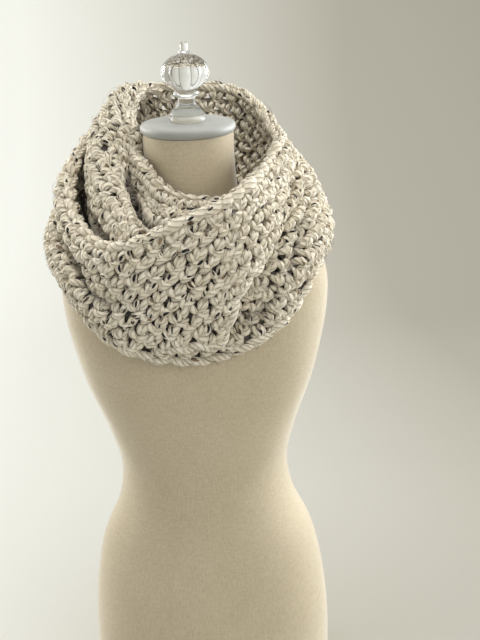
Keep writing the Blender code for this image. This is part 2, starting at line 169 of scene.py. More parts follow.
# The band's sections, in centimetres: the turn in degrees from the front, then (radius, height)
# of six points across the cloth from its rim, which is the edge worn uppermost, to its hem.
BAND = (
    Station(-90, (13.8, 68.2), (15.3, 67.2), (14.9, 65.4), (16.0, 63.9), (16.6, 62.1), (16.1, 60.0)),
    Station(-75, (13.8, 65.7), (15.4, 64.8), (14.9, 63.2), (16.1, 61.9), (16.5, 60.5), (15.9, 59.3)),
    Station(-60, (13.9, 63.7), (15.2, 62.7), (14.8, 61.3), (16.0, 60.0), (16.2, 58.3), (15.6, 56.8)),
    Station(-45, (14.0, 62.3), (15.1, 60.9), (14.8, 59.5), (15.7, 57.8), (15.7, 55.6), (15.1, 53.5)),
    Station(-30, (14.2, 62.3), (14.7, 60.6), (14.8, 58.4), (14.9, 56.0), (14.7, 53.5), (14.1, 51.1)),
    Station(-15, (13.9, 63.6), (14.2, 61.4), (14.3, 58.9), (14.2, 56.2), (14.0, 53.6), (13.5, 51.3)),
    Station(0, (13.6, 65.0), (13.9, 62.6), (14.0, 59.9), (13.9, 57.2), (13.7, 54.4), (13.4, 51.8)),
    Station(11, (13.3, 66.0), (13.7, 63.3), (13.8, 60.4), (13.8, 57.4), (13.7, 54.6), (13.4, 52.3)),
    Station(18, (13.0, 66.7), (13.5, 64.5), (13.8, 62.2), (14.1, 59.7), (14.1, 57.8), (13.8, 56.7)),
    Station(30, (12.2, 68.0), (12.9, 66.2), (13.5, 64.2), (13.8, 62.4), (13.8, 60.8), (13.4, 59.8)),
    Station(45, (10.9, 69.0), (11.8, 67.6), (12.4, 66.2), (12.9, 64.6), (12.8, 63.3), (12.1, 62.9)),
    Station(60, (10.1, 69.8), (11.0, 69.2), (11.6, 68.2), (11.7, 67.1), (11.2, 66.2), (10.3, 66.2)),
    Station(75, (10.2, 71.3), (11.0, 70.7), (11.4, 69.8), (11.3, 68.9), (10.6, 68.4), (9.7, 68.5)),
    Station(90, (10.6, 72.2), (11.2, 71.4), (11.4, 70.5), (11.0, 69.8), (10.1, 69.5), (9.2, 69.7)),
    Station(105, (10.6, 73.3), (11.0, 71.8), (11.0, 70.1), (10.6, 68.5), (9.7, 67.0), (8.6, 65.9)),
    Station(120, (10.5, 75.6), (10.8, 73.6), (10.8, 71.6), (10.4, 69.6), (9.6, 67.7), (8.5, 66.1)),
    Station(135, (10.5, 77.4), (10.7, 74.9), (10.6, 72.4), (10.2, 70.1), (9.4, 67.9), (8.3, 65.9)),
    Station(150, (10.7, 78.4), (10.7, 76.1), (10.4, 73.4), (9.9, 70.8), (9.1, 68.3), (8.1, 65.9)),
    Station(180, (10.4, 78.9), (10.4, 76.4), (10.1, 73.9), (9.6, 71.2), (8.9, 68.6), (7.9, 66.2)),
    Station(195, (10.1, 78.9), (10.5, 77.9), (10.7, 76.2), (10.5, 73.5), (10.0, 70.7), (9.2, 67.9)),
    Station(210, (9.7, 78.5), (10.3, 79.0), (11.0, 78.2), (11.3, 75.2), (11.1, 71.7), (10.4, 68.2)),
    Station(225, (8.8, 77.2), (9.4, 78.5), (10.4, 78.7), (11.7, 76.3), (12.0, 72.3), (11.5, 68.0)),
    Station(240, (7.7, 75.3), (8.2, 76.9), (9.5, 77.6), (11.4, 75.4), (12.0, 71.9), (11.7, 67.0)),
    Station(255, (6.7, 73.3), (7.0, 74.9), (8.3, 75.9), (10.7, 74.8), (11.7, 71.6), (11.5, 66.0)),
    Station(270, (6.0, 71.8), (6.1, 73.0), (7.1, 73.9), (9.9, 73.3), (11.2, 70.4), (11.3, 65.4)),
    Station(285, (6.15, 71.0), (6.7, 69.9), (7.7, 70.6), (10.1, 71.0), (11.2, 68.4), (11.3, 64.3)),
    Station(300, (6.6, 70.4), (7.4, 68.2), (8.7, 68.6), (10.7, 68.4), (11.6, 65.8), (11.5, 62.2)),
    Station(315, (7.0, 70.0), (8.1, 66.2), (9.5, 66.6), (11.3, 66.2), (12.1, 63.4), (12.1, 59.5)),
    Station(330, (7.15, 68.2), (8.5, 65.0), (10.4, 64.5), (12.0, 62.6), (12.7, 58.8), (12.7, 50.9)),
    Station(345, (7.2, 66.9), (9.0, 64.8), (11.0, 63.3), (12.1, 60.2), (12.4, 55.6), (12.2, 49.9)),
    Station(360, (7.2, 66.1), (8.8, 65.1), (10.7, 63.1), (11.8, 59.5), (12.2, 54.6), (11.9, 49.7)),
    Station(375, (7.4, 65.9), (9.0, 64.9), (10.7, 62.5), (11.6, 59.0), (12.0, 54.7), (12.2, 50.3)),
    Station(390, (8.0, 65.6), (9.5, 64.0), (10.6, 61.3), (12.2, 57.6), (12.5, 55.0), (12.9, 51.4)),
    Station(405, (8.65, 64.7), (10.1, 63.4), (11.9, 61.1), (14.3, 58.6), (13.5, 56.8), (13.9, 53.6)),
    Station(420, (9.4, 64.5), (11.3, 64.3), (13.5, 62.8), (15.3, 60.5), (14.2, 59.1), (14.6, 57.1)),
    Station(435, (10.4, 66.7), (12.1, 67.0), (14.0, 65.2), (15.6, 62.5), (14.9, 60.8), (15.0, 59.4)),
    Station(450, (12.1, 69.0), (13.4, 68.1), (14.8, 65.5), (15.7, 62.7), (15.8, 61.0), (15.6, 59.4)),
    Station(465, (12.3, 70.8), (13.6, 69.0), (14.9, 66.0), (15.6, 63.0), (15.7, 60.7), (15.4, 59.0)),
    Station(480, (12.1, 72.4), (13.2, 69.9), (14.1, 66.6), (14.6, 63.3), (14.5, 60.6), (14.0, 58.3)),
    Station(510, (11.9, 74.0), (12.5, 71.2), (12.8, 67.7), (12.6, 64.1), (12.0, 61.0), (11.3, 58.2)),
    Station(540, (11.7, 74.7), (12.1, 72.0), (12.1, 68.7), (11.8, 65.2), (11.1, 61.8), (10.2, 58.6)),
    Station(570, (12.5, 74.9), (12.9, 72.2), (13.0, 68.8), (12.8, 65.3), (12.2, 61.8), (11.5, 58.6)),
    Station(600, (13.2, 73.7), (14.1, 71.5), (14.7, 68.3), (15.0, 64.9), (14.8, 61.9), (14.2, 59.0)),
    Station(615, (13.6, 71.2), (14.9, 69.6), (14.8, 67.2), (16.0, 65.1), (16.7, 62.4), (16.6, 59.2)),
)

# Creases, where one fold lies against the next: turns in degrees, and there the crease's distances
# from the rim, its half widths and its depths, in centimetres
COLLAR_CREASE = Crease(
    turn=(276, 286, 296, 305, 316, 330, 342, 356, 372),
    reach=(0.8, 1.3, 2.5, 3.8, 5.0, 5.3, 5.4, 5.4, 5.2),
    half_width=(0.5, 0.6, 0.75, 0.85, 0.95, 1.0, 1.0, 1.0, 0.9),
    depth=(0.0, 0.7, 1.3, 1.7, 1.9, 2.0, 2.0, 1.2, 0.0),
)
OUTER_CREASE = Crease(
    turn=(280, 288, 295, 302, 309, 317, 326),
    reach=(8.6, 9.6, 10.5, 11.0, 11.6, 12.4, 13.4),
    half_width=(0.8, 0.9, 1.0, 1.0, 1.0, 1.0, 0.9),
    depth=(0.0, 0.8, 1.2, 1.4, 1.3, 0.8, 0.0),
)
RIGHT_CREASE = Crease(
    turn=(370, 377, 386, 395, 400, 404, 411, 418, 427, 440),
    reach=(14.6, 14.0, 13.1, 12.0, 10.6, 8.7, 6.5, 5.3, 4.4, 3.2),
    half_width=(0.9, 0.9, 0.9, 0.9, 0.9, 0.9, 0.9, 0.8, 0.7, 0.7),
    depth=(0.0, 0.5, 0.9, 1.1, 1.2, 1.2, 1.1, 0.9, 0.6, 0.0),
)
LEFT_CREASE = Crease(
    turn=(-98, -80, -72, -62, -57, -52, -46, -40, -33, -25),
    reach=(2.6, 2.7, 2.8, 3.1, 3.5, 4.4, 5.7, 5.9, 6.0, 6.2),
    half_width=(0.8, 0.9, 0.9, 0.9, 0.9, 0.9, 0.9, 0.9, 0.9, 0.8),
    depth=(0.0, 0.9, 1.2, 1.3, 1.3, 1.3, 1.2, 1.0, 0.6, 0.0),
)
CREASES = (COLLAR_CREASE, OUTER_CREASE, RIGHT_CREASE, LEFT_CREASE)

# Depths of a crease, in metres, from which its wool gets painted shade and at which that painted shade is
# darkest
CREASE_SHADE_FROM = 0.006
CREASE_SHADE_FULL = 0.016

# How far each row stands up as a rib, in millimetres, at turns in degrees
RIB_TURNS = (-100, 0, 40, 80, 140, 225, 300, 360, 395, 450, 520, 600, 620)
RIBS = (0.5, 0.4, 1.0, 2.2, 1.8, 1.2, 0.7, 0.7, 2.2, 2.6, 1.9, 0.9, 0.5)

# The thin sheet behind the loops, which is closed from one turn on, behind the left shoulder
CORE_PER_STITCH = 6
CORE_ROWS = 48
CORE_OUT = -0.0012
CLOSED_FROM = 588

# Its openings: where they lie and how far they reach, as shares of a stitch and of a row
GAP_ALONG = 0.5
GAP_DOWN = 0.10
GAP_HALF_ALONG = 0.20
GAP_HALF_DOWN = 0.18

# Rows of loops on the cloth's inner face, counted from the rim, where that face shows
INSIDE_ROWS = {"front_over": 3, "collar_back": 12, "front_under": 2, "low_back": 4}

# Stretches where light shows through: the inner loops leave the same gaps as the outer ones
OPEN_WORK = ("collar_back",)
OPEN_WIDTH = 0.80
OPEN_BOW = 0.4

# One stitch: places along and down are shares of a stitch and of a row from its middle, and
# heights off the cloth, widths and lifts are millimetres. The two patterns take turns, row by row.
FAN = (
    Loop(-0.40, -0.46, 0.5, -0.06, 0.40, 2.6, 8.3, 1.9, -0.09),
    Loop(0.01, -0.56, 0.8, 0.00, 0.30, 3.0, 7.7, 2.1, 0.02),
    Loop(0.40, -0.44, 0.5, 0.06, 0.40, 2.6, 8.3, 1.9, 0.09),
    Loop(-0.34, 0.40, 2.8, 0.34, 0.46, 3.0, 7.9, 1.9, 0.18),
)
SLANTED_FAN = (
    Loop(-0.28, -0.48, 0.6, -0.12, 0.38, 2.6, 8.1, 1.9, -0.06),
    Loop(0.14, -0.52, 0.7, -0.02, 0.36, 3.0, 7.7, 2.1, 0.06),
    Loop(0.53, -0.44, 0.4, 0.08, 0.40, 2.4, 8.3, 1.9, 0.10),
    Loop(-0.36, 0.50, 3.0, 0.30, 0.36, 2.8, 7.9, 1.9, -0.14),
)
ROW_PATTERNS = (FAN, SLANTED_FAN)

# The chain along an edge: places along are shares of a stitch, and down is millimetres in from the edge
CHAIN = (
    Loop(-0.70, 3.4, 2.0, 0.66, -1.6, 3.0, 9.8, 1.8, 0.0),
    Loop(-0.62, -5.4, 1.2, 0.62, -1.8, 1.4, 6.4, 0.8, 0.0),
)

# Widths of the chain along each rim, and of any other chain, as shares of the chain's own
RIM_WIDTHS = {"front_over": 1.18, "collar_back": 0.95, "front_under": 1.0, "low_back": 1.0}
PLAIN_WIDTH = 0.92

# Stray fibres on each stretch: their spans, heights and width in millimetres
STRAYS = 520
STRAY_RINGS = 5
STRAY_SIDES = 3
STRAY_SPANS = (4.0, 13.0)
STRAY_ROOT = 4.5
STRAY_HEIGHTS = (6.5, 10.5)
STRAY_WIDTH = 0.36

# How they lie: degrees from a cut, shares of the way from rim to hem, radians that they wander, the
# share of their span where they are highest, and metres past an edge and, about, from the axis
STRAY_MARGIN = 4.0
STRAY_SHARES = (-0.2, 1.2)
STRAY_WANDER = 0.9
STRAY_TOP = 0.75
STRAY_PAST_EDGE = 0.003
STRAY_RADIUS = 0.13

# Yarn: its plies, which turn once in 30 mm, and tones at places on a colour ramp. A fleck lies in a
# cell of the strand, fades between two distances from the cell's middle, and shows where the cell's
# random number is above its least.
WHITE = (1.0, 1.0, 1.0)
PLIES = 4
PLY_TWIST = 2 * math.pi / 0.030
# Painted shade: the wool darkens in the grooves between its plies
PLY_PAINTED_SHADE_TONES = ((0.0, (0.50, 0.44, 0.38)), (0.5, WHITE))
WOOL_TONES = ((0.30, (0.68, 0.62, 0.49)), (0.50, (0.77, 0.72, 0.59)), (0.72, (0.84, 0.80, 0.69)))
FIBRE_TONES = ((0.25, (0.72, 0.68, 0.62)), (0.7, (1.08, 1.07, 1.05)))
# Painted shade: wool deep in a crease is darkened towards this tone
CREASE_PAINTED_SHADE_TONES = ((0.0, WHITE), (1.0, (0.12, 0.12, 0.14)))
# Painted shade: the sheet's near-black tones, and lighter ones where light shows through the open work
CORE_PAINTED_SHADE_TONES = ((0.3, (0.050, 0.046, 0.045)), (0.7, (0.165, 0.146, 0.126)))
OPEN_CORE_PAINTED_SHADE_TONES = ((0.3, (0.17, 0.148, 0.118)), (0.7, (0.32, 0.28, 0.22)))
FLECK_SHAPE = (120.0, 260.0, 260.0)
FLECK_OUTER = 0.52
FLECK_INNER = 0.36
FLECKS = (
    Fleck(0.0, (0.010, 0.010, 0.014), 0.875),
    Fleck(17.3, (0.080, 0.048, 0.034), 0.968),
    Fleck(41.9, (0.26, 0.19, 0.12), 0.95),
)

# Form and cap
FORM_RINGS = 110
FORM_SIDES = 128
SHARP_ANGLE = math.radians(28)
LINEN_TONES = ((0.36, (0.445, 0.380, 0.265)), (0.64, (0.570, 0.500, 0.362)))
LINEN_CLOUD = ((0.3, (0.94, 0.93, 0.91)), (0.7, (1.03, 1.03, 1.04)))
PAINT_TONES = ((0.3, (0.33, 0.336, 0.314)), (0.7, (0.37, 0.376, 0.352)))
BRUSH_TONES = ((0.3, (0.95, 0.95, 0.95)), (0.7, WHITE))

# The grooves between the ball's flutes: the share of their depth from which they get painted shade, and its
# darkest tone
GROOVE_FROM = 0.80
GROOVE_PAINTED_SHADE = (0.10, 0.10, 0.09)

# Studio, in metres and watts: each light is a soft rectangle that faces its target
# The sweep's tones, darker towards the right as painted shade
SWEEP_PAINTED_SHADE_TONES = ((0.25, (0.90, 0.91, 0.86)), (0.75, (0.50, 0.48, 0.41)))
SWEEP_FRONT = -6.0
SWEEP_START = 1.9
SWEEP_ROUND = 1.5
SWEEP_STEPS = 16
SWEEP_TOP = 4.5
SWEEP_HALF_WIDTH = 6.0
WORLD_COLOUR = (1.0, 0.985, 0.96, 1.0)
WORLD_STRENGTH = 0.51
FORM_MIDDLE = (0.0, 0.0, 0.5)
DAYLIGHT = (0.94, 0.97, 1.0)
WARM_LIGHT = (1.0, 0.985, 0.955)
LIGHTS = (
    Light("window", (1.65, 0.66, 1.00), FORM_MIDDLE, (0.8, 1.2), 55.0, DAYLIGHT),
    Light("left_wall", (-1.50, 0.85, 1.20), FORM_MIDDLE, (0.9, 0.9), 35.0, WARM_LIGHT),
    Light("ceiling", (0.10, -0.25, 2.10), FORM_MIDDLE, (0.9, 0.8), 14.0, WARM_LIGHT),
    Light("front_fill", (1.15, -1.45, 0.95), FORM_MIDDLE, (0.9, 1.1), 11.0, WARM_LIGHT),
)
SWEEP_WASH = Light("sweep_wash", (-0.6, -0.2, 4.0), (-0.2, 2.4, 0.9), (4.0, 3.0), 125.0, WHITE)

# Camera
CAMERA_PLACE = (0.0, -0.91, 0.736)
CAMERA_PITCH = math.radians(14.0)
CAMERA_YAW = math.radians(3.212)
CAMERA_ROLL = math.radians(-2.233)
CAMERA_LENS = 43.31
CAMERA_SENSOR = 36.0


def spline(knots, values, places):
    """Cubic through rows of values at uneven knots, read at the given places."""
    slopes = np.zeros_like(values)
    rise = np.diff(values, axis=0) / np.diff(knots)[:, None]
    left, right = np.diff(knots)[:-1, None], np.diff(knots)[1:, None]
    slopes[1:-1] = (rise[:-1] * right + rise[1:] * left) / (left + right)
    slopes[0], slopes[-1] = rise[0], rise[-1]
    i = np.clip(np.searchsorted(knots, places, side="right") - 1, 0, len(knots) - 2)
    step = (knots[i + 1] - knots[i])[:, None]
    t = (places - knots[i])[:, None] / step
    return (
        (2 * t**3 - 3 * t**2 + 1) * values[i]
        + (t**3 - 2 * t**2 + t) * step * slopes[i]
        + (3 * t**2 - 2 * t**3) * values[i + 1]
        + (t**3 - t**2) * step * slopes[i + 1]
    )


def between(places, knots, table):
    """Rows of a table at knots, read at places by straight steps."""
    return np.stack([np.interp(places, knots, column) for column in table.T], axis=1)


def unit(vectors):
    """Vectors at length one."""
    return vectors / np.maximum(np.linalg.norm(vectors, axis=-1, keepdims=True), 1e-12)


def lengths_along(points):
    """The length from the first point to each point of a path."""
    return np.concatenate([[0.0], np.cumsum(np.linalg.norm(np.diff(points, axis=0), axis=1))])


def full_circle(sides):
    """Angles all the way round, without the last one that closes it."""
    return np.linspace(0.0, 2 * math.pi, sides, endpoint=False)


def spun(section, turn):
    """Radii and heights at turns in degrees round the upright axis, as places in the shared frame."""
    angle = np.radians(turn)
    radius, height = section[..., 0], section[..., 1]
    return np.stack([radius * np.sin(angle), -radius * np.cos(angle), height], axis=-1)


def wrapped(turn):
    """Turns in degrees, counted from the band's first cut."""
    return (turn - CUT_TURNS[0]) % TURNS + CUT_TURNS[0]


def stretch_of(turn):
    """The number of the stretch that holds each turn, in degrees."""
    return np.searchsorted(CUT_TURNS, wrapped(turn), side="right") - 1


def has_hem(turn):
    """Where the band's second long edge shows as an edge, and isn't folded under."""
    first, last = HEM_FOLDED
    return (wrapped(turn) < first) | (wrapped(turn) > last)


def crease_depth(turn, down):
    """How far the creases draw the cloth in, at turns in degrees and distances from the rim."""
    turn = wrapped(turn)
    deep = np.zeros_like(turn)
    for crease in CREASES:
        reach, half_width, depth = [np.interp(turn, crease.turn, column) * CM for column in crease[1:]]
        deep += depth * np.exp(-(((down - reach) / half_width) ** 4))
    return deep


def rib_height(turn):
    """How far a row stands up as a rib, in millimetres, at turns in degrees."""
    return np.interp(wrapped(turn), RIB_TURNS, RIBS)


class Cloth:
    """The band's middle surface, on a grid over its turn and its distance in from the rim."""

    def __init__(self):
        turns = np.array([row.turn for row in BAND], float)
        points = np.array([row[1:] for row in BAND]).reshape(len(BAND), -1)
        knots = np.concatenate([turns[-2:] - TURNS, turns, turns[:2] + TURNS])
        values = np.concatenate([points[-2:], points, points[:2]])
        self.first = BAND[0].turn
        self.turns = np.arange(self.first, self.first + TURNS + TURN_STEP / 2, TURN_STEP)
        controls = spline(knots, values, self.turns).reshape(len(self.turns), -1, 2) * CM
        curves = [self.fine_curve(row) for row in controls]
        self.lengths = np.array([length[-1] for _, length in curves])
        self.reaches = np.arange(-CURL_REACH, self.lengths.max() + CURL_REACH, REACH_STEP)
        sections = [self.section(points, length) for points, length in curves]
        self.points = np.array([places for places, _ in sections])
        self.normals = np.array([normals for _, normals in sections])
        self.walked = lengths_along(self.place(self.turns, self.lengths / 2, 0.0)[0])
        self.stitches = round(self.walked[-1] / STITCH)

    @staticmethod
    def fine_curve(controls):
        """A smooth curve through a section's six points, and its length so far at each."""
        reach = lengths_along(controls)
        points = spline(reach, controls, np.linspace(0.0, reach[-1], SECTION_POINTS))
        return points, lengths_along(points)

    def section(self, points, length):
        """Even steps across one section, which curls inward past its rim and past its hem."""
        inside = np.clip(self.reaches, 0.0, length[-1])
        along = unit(between(inside, length, unit(np.gradient(points, axis=0))))
        normals = np.stack([-along[:, 1], along[:, 0]], axis=1)
        angle = np.clip((self.reaches - inside) / EDGE_CURL, -math.pi, math.pi)[:, None]
        curl = EDGE_CURL * (np.sin(angle) * along - (1 - np.cos(angle)) * normals)
        places = between(inside, length, points) + curl
        return places, unit(np.cos(angle) * normals + np.sin(angle) * along)

    def read(self, grid, turn, down):
        """A grid's values at turns in degrees and distances from the rim, mixed from its four nearest."""
        t = (turn - self.first) % TURNS / TURN_STEP
        d = np.clip((down + CURL_REACH) / REACH_STEP, 0, len(self.reaches) - 1.001)
        i, j = np.floor(t).astype(int), np.floor(d).astype(int)
        i = np.minimum(i, len(self.turns) - 2)
        f, g = (t - i)[..., None], (d - j)[..., None]
        near = grid[i, j] * (1 - g) + grid[i, j + 1] * g
        far = grid[i + 1, j] * (1 - g) + grid[i + 1, j + 1] * g
        return near * (1 - f) + far * f

    def place(self, turn, down, out):
        """World points and outward directions at turns, distances from the rim and heights off the cloth."""
        normal = unit(self.read(self.normals, turn, down))
        flat = self.read(self.points, turn, down) + normal * (out - crease_depth(turn, down))[..., None]
        return spun(flat, turn), spun(normal, turn)

    def turn_at(self, stitch):
        """The turn, in degrees, of a place counted in stitches along the band."""
        whole = np.floor(stitch / self.stitches)
        walk = (stitch - whole * self.stitches) / self.stitches * self.walked[-1]
        return np.interp(walk, self.walked, self.turns) + whole * TURNS

    def stitch_at(self, turn):
        """The place in stitches along the band of a turn in degrees."""
        whole = np.floor((turn - self.first) / TURNS)
        walk = np.interp(turn - whole * TURNS, self.turns, self.walked)
        return (walk / self.walked[-1] + whole) * self.stitches

    def length_at(self, turn):
        """The cloth's width across, at turns in degrees."""
        return np.interp((turn - self.first) % TURNS + self.first, self.turns, self.lengths)

    def row_at(self, turn):
        """The height of one row, at turns in degrees."""
        return np.clip((self.length_at(turn) - 2 * EDGE_ROOM) / ROWS_ACROSS, ROW_LEAST, ROW_MOST)

    def reach_at(self, row, turn):
        """The distance from the rim of a place counted in rows, at turns in degrees."""
        return EDGE_ROOM + row * self.row_at(turn)


def loop_paths(cloth, loop, stitch, row, side, rng):
    """Turns, distances from the rim, heights and widths along one kind of loop, for each stitch."""
    count = len(stitch)
    t = np.linspace(0.0, 1.0, LOOP_RINGS)[None, :]
    shift = rng.normal(0.0, JITTER, (count, 4))
    along0, along1 = loop.along0 + shift[:, :1], loop.along1 + shift[:, 1:2]
    down0, down1 = loop.down0 + shift[:, 2:3], loop.down1 + shift[:, 3:4]
    bow = np.sin(math.pi * t) * loop.bow
    lies_flat = abs(loop.along1 - loop.along0) > FLAT_SPAN
    along = along0 + (along1 - along0) * t + (0.0 if lies_flat else bow)
    down = down0 + (down1 - down0) * t + (bow if lies_flat else 0.0)
    lift = loop.out0 + (loop.out1 - loop.out0) * t + loop.lift * np.sin(math.pi * t) ** LOOP_ARCH
    lift = lift - END_DIP * (2 * t - 1) ** 4 + rng.normal(0.0, HEIGHT_JITTER, (count, 1))
    turn = cloth.turn_at(stitch[:, None] + along)
    lift = lift + rib_height(turn) * np.cos(2 * math.pi * down)
    reach = cloth.reach_at(row[:, None] + 0.5 + down, turn)
    return turn, reach, side * lift * MM, loop.width * rng.uniform(*LOOP_WIDTHS, (count, 1)) * MM


def chain_paths(cloth, loop, stitch, hem, side, scale, rng):
    """The same, for the chain that runs along the rim or along the hem."""
    count = len(stitch)
    t = np.linspace(0.0, 1.0, LOOP_RINGS)[None, :]
    shift = rng.normal(0.0, CHAIN_JITTER, (count, 2))
    along = loop.along0 + (loop.along1 - loop.along0) * t
    down = (loop.down0 + shift[:, :1]) + (loop.down1 - loop.down0 + shift[:, 1:]) * t
    turn = cloth.turn_at(stitch[:, None] + along)
    reach = cloth.length_at(turn) - down * MM if hem else down * MM
    lift = loop.out0 + (loop.out1 - loop.out0) * t + loop.lift * np.sin(math.pi * t)
    lift = lift - END_DIP * (2 * t - 1) ** 4
    return turn, reach, side * lift * MM, loop.width * scale * rng.uniform(*CHAIN_WIDTHS, (count, 1)) * MM


def stray_paths(cloth, number, rng):
    """The same, for stray fibres that stand off the wool. About three in ten start on an edge."""
    first, last = CUT_TURNS[number:number + 2]
    t = np.linspace(0.0, 1.0, STRAY_RINGS)[None, :]
    turn = rng.uniform(first + STRAY_MARGIN, last - STRAY_MARGIN, (STRAYS, 1))
    share = np.clip(rng.uniform(*STRAY_SHARES, (STRAYS, 1)), 0.0, 1.0)
    heading = rng.uniform(0.0, 2 * math.pi, (STRAYS, 1)) + rng.normal(0.0, STRAY_WANDER, (STRAYS, 1)) * t
    span = rng.uniform(*STRAY_SPANS, (STRAYS, 1)) * MM
    turn_path = turn + np.degrees(span * t * np.cos(heading) / STRAY_RADIUS)
    reach = share * cloth.length_at(turn) + span * t * np.sin(heading)
    reach = np.clip(reach, -STRAY_PAST_EDGE, cloth.length_at(turn) + STRAY_PAST_EDGE)
    height = rng.uniform(*STRAY_HEIGHTS, (STRAYS, 1))
    rise = np.sin(math.pi * np.minimum(t, STRAY_TOP) / (2 * STRAY_TOP))
    lift = STRAY_ROOT + (height - STRAY_ROOT) * rise
    return turn_path, reach, lift * MM, np.full((STRAYS, 1), STRAY_WIDTH * MM)


def mesh_from(name, vertices, faces):
    """A smooth mesh from arrays of points and of faces, where a fourth corner of -1 means a triangle."""
    sizes = np.where(faces[:, 3] < 0, 3, 4)
    corners = faces.ravel()
    corners = corners[corners >= 0]
    mesh = bpy.data.meshes.new(name)
    mesh.vertices.add(len(vertices))
    mesh.vertices.foreach_set("co", vertices.astype(np.float32).ravel())
    mesh.loops.add(len(corners))
    mesh.loops.foreach_set("vertex_index", corners.astype(np.int32))
    mesh.polygons.add(len(faces))
    mesh.polygons.foreach_set("loop_start", np.concatenate([[0], np.cumsum(sizes)[:-1]]).astype(np.int32))
    mesh.update(calc_edges=True)
    mesh.validate()
    mesh.shade_smooth()
    return mesh


def skin_faces(rings, sides):
    """Faces of a closed skin over rings of points, with the middles of its two ends as last points."""
    index = np.arange(rings * sides).reshape(rings, sides)
    after = np.roll(index, -1, axis=1)
    quads = np.stack([index[:-1], after[:-1], after[1:], index[1:]], axis=-1).reshape(-1, 4)
    first, last, none = [np.full(sides, number) for number in (rings * sides, rings * sides + 1, -1)]
    low = np.stack([after[0], index[0], first, none], axis=1)
    high = np.stack([index[-1], after[-1], last, none], axis=1)
    return np.concatenate([quads, low, high])


def add_attribute(mesh, name, values):
    """A number or a vector for each point of a mesh, which its material reads."""
    kind, field = ("FLOAT", "value") if values.ndim == 1 else ("FLOAT_VECTOR", "vector")
    data = mesh.attributes.new(name, kind, "POINT").data
    data.foreach_set(field, values.astype(np.float32).ravel())


def add_piece(name, mesh, material):
    """An object among the pieces, for a mesh in one material."""
    mesh.materials.append(material)
    item = bpy.data.objects.new(name, mesh)
    pieces.objects.link(item)
    return item


class Yarn:
    """Loops of yarn gathered into one mesh."""

    def __init__(self, rng):
        self.rng = rng
        self.vertices, self.faces, self.strand, self.deep = [], [], [], []
        self.count = 0

    def add(self, cloth, turn, reach, lift, width, sides=LOOP_SIDES):
        """Plump tapered tubes along paths on the cloth."""
        middle, facing = cloth.place(turn, reach, lift)
        tangent = unit(np.gradient(middle, axis=1))
        across = unit(np.cross(tangent, facing))
        facing = np.cross(across, tangent)
        count, rings = middle.shape[:2]
        from_end = END_SLOPE + (1 - 2 * END_SLOPE) * np.linspace(0.0, 1.0, rings)
        swell = END_WIDTH + (1 - END_WIDTH) * np.sin(math.pi * from_end) ** END_TAPER
        angle = full_circle(sides)
        wide = (width / 2 * swell)[..., None] * np.cos(angle)
        high = (width * THICKNESS / 2 * swell)[..., None] * np.sin(angle)
        sideways = across[:, :, None] * wide[..., None]
        tubes = middle[:, :, None] + sideways + facing[:, :, None] * high[..., None]
        past = width[..., None] * END_TIP * np.array([-1, 1])[None, :, None]
        tips = middle[:, [0, -1]] + tangent[:, [0, -1]] * past
        self.vertices.append(np.concatenate([tubes.reshape(count, -1, 3), tips], axis=1).reshape(-1, 3))

        walked = np.cumsum(np.linalg.norm(np.diff(middle, axis=1, prepend=middle[:, :1]), axis=2), axis=1)
        walked = walked + self.rng.uniform(0.0, STRAND_LENGTH, (count, 1))
        strand = np.stack([np.broadcast_to(walked[..., None], wide.shape), wide, high], axis=-1)
        tip_strand = np.zeros((count, 2, 3))
        tip_strand[:, :, 0] = walked[:, [0, -1]]
        self.strand.append(np.concatenate([strand.reshape(count, -1, 3), tip_strand], axis=1).reshape(-1, 3))

        # Each point's share of painted shade, from how deep its crease draws the cloth in
        deep = crease_depth(turn, reach)
        deep = np.interp(deep, (CREASE_SHADE_FROM, CREASE_SHADE_FULL), (0.0, 1.0))
        self.deep.append(np.concatenate([np.repeat(deep, sides, axis=1), deep[:, [0, -1]]], axis=1).ravel())

        block = rings * sides + 2
        pattern = skin_faces(rings, sides)
        starts = self.count + np.arange(count)[:, None, None] * block
        self.faces.append(np.where(pattern < 0, -1, pattern + starts).reshape(-1, 4))
        self.count += count * block

    def object(self, name, material):
        """The piece that the loops so far make, with each point's place along and across its strand and its
        share of painted crease shade.
        """
        mesh = mesh_from(name, np.concatenate(self.vertices), np.concatenate(self.faces))
        add_attribute(mesh, "strand", np.concatenate(self.strand))
        add_attribute(mesh, "deep", np.concatenate(self.deep))
        return add_piece(name, mesh, material)


def stitch_places(cloth):
    """Every stitch on the band: its place along in stitches, its row and the turn of its middle."""
    rows = math.ceil(cloth.lengths.max() / ROW_LEAST) + 1
    stitch, row = np.meshgrid(np.arange(cloth.stitches), np.arange(rows), indexing="ij")
    stitch, row = stitch.ravel().astype(float), row.ravel()
    stitch = stitch + 0.5 * (row % 2)
    turn = cloth.turn_at(stitch)
    reach = cloth.reach_at(row + 0.5, turn)
    kept = reach < cloth.length_at(turn) - HEM_ROOM
    return stitch[kept], row[kept], turn[kept]


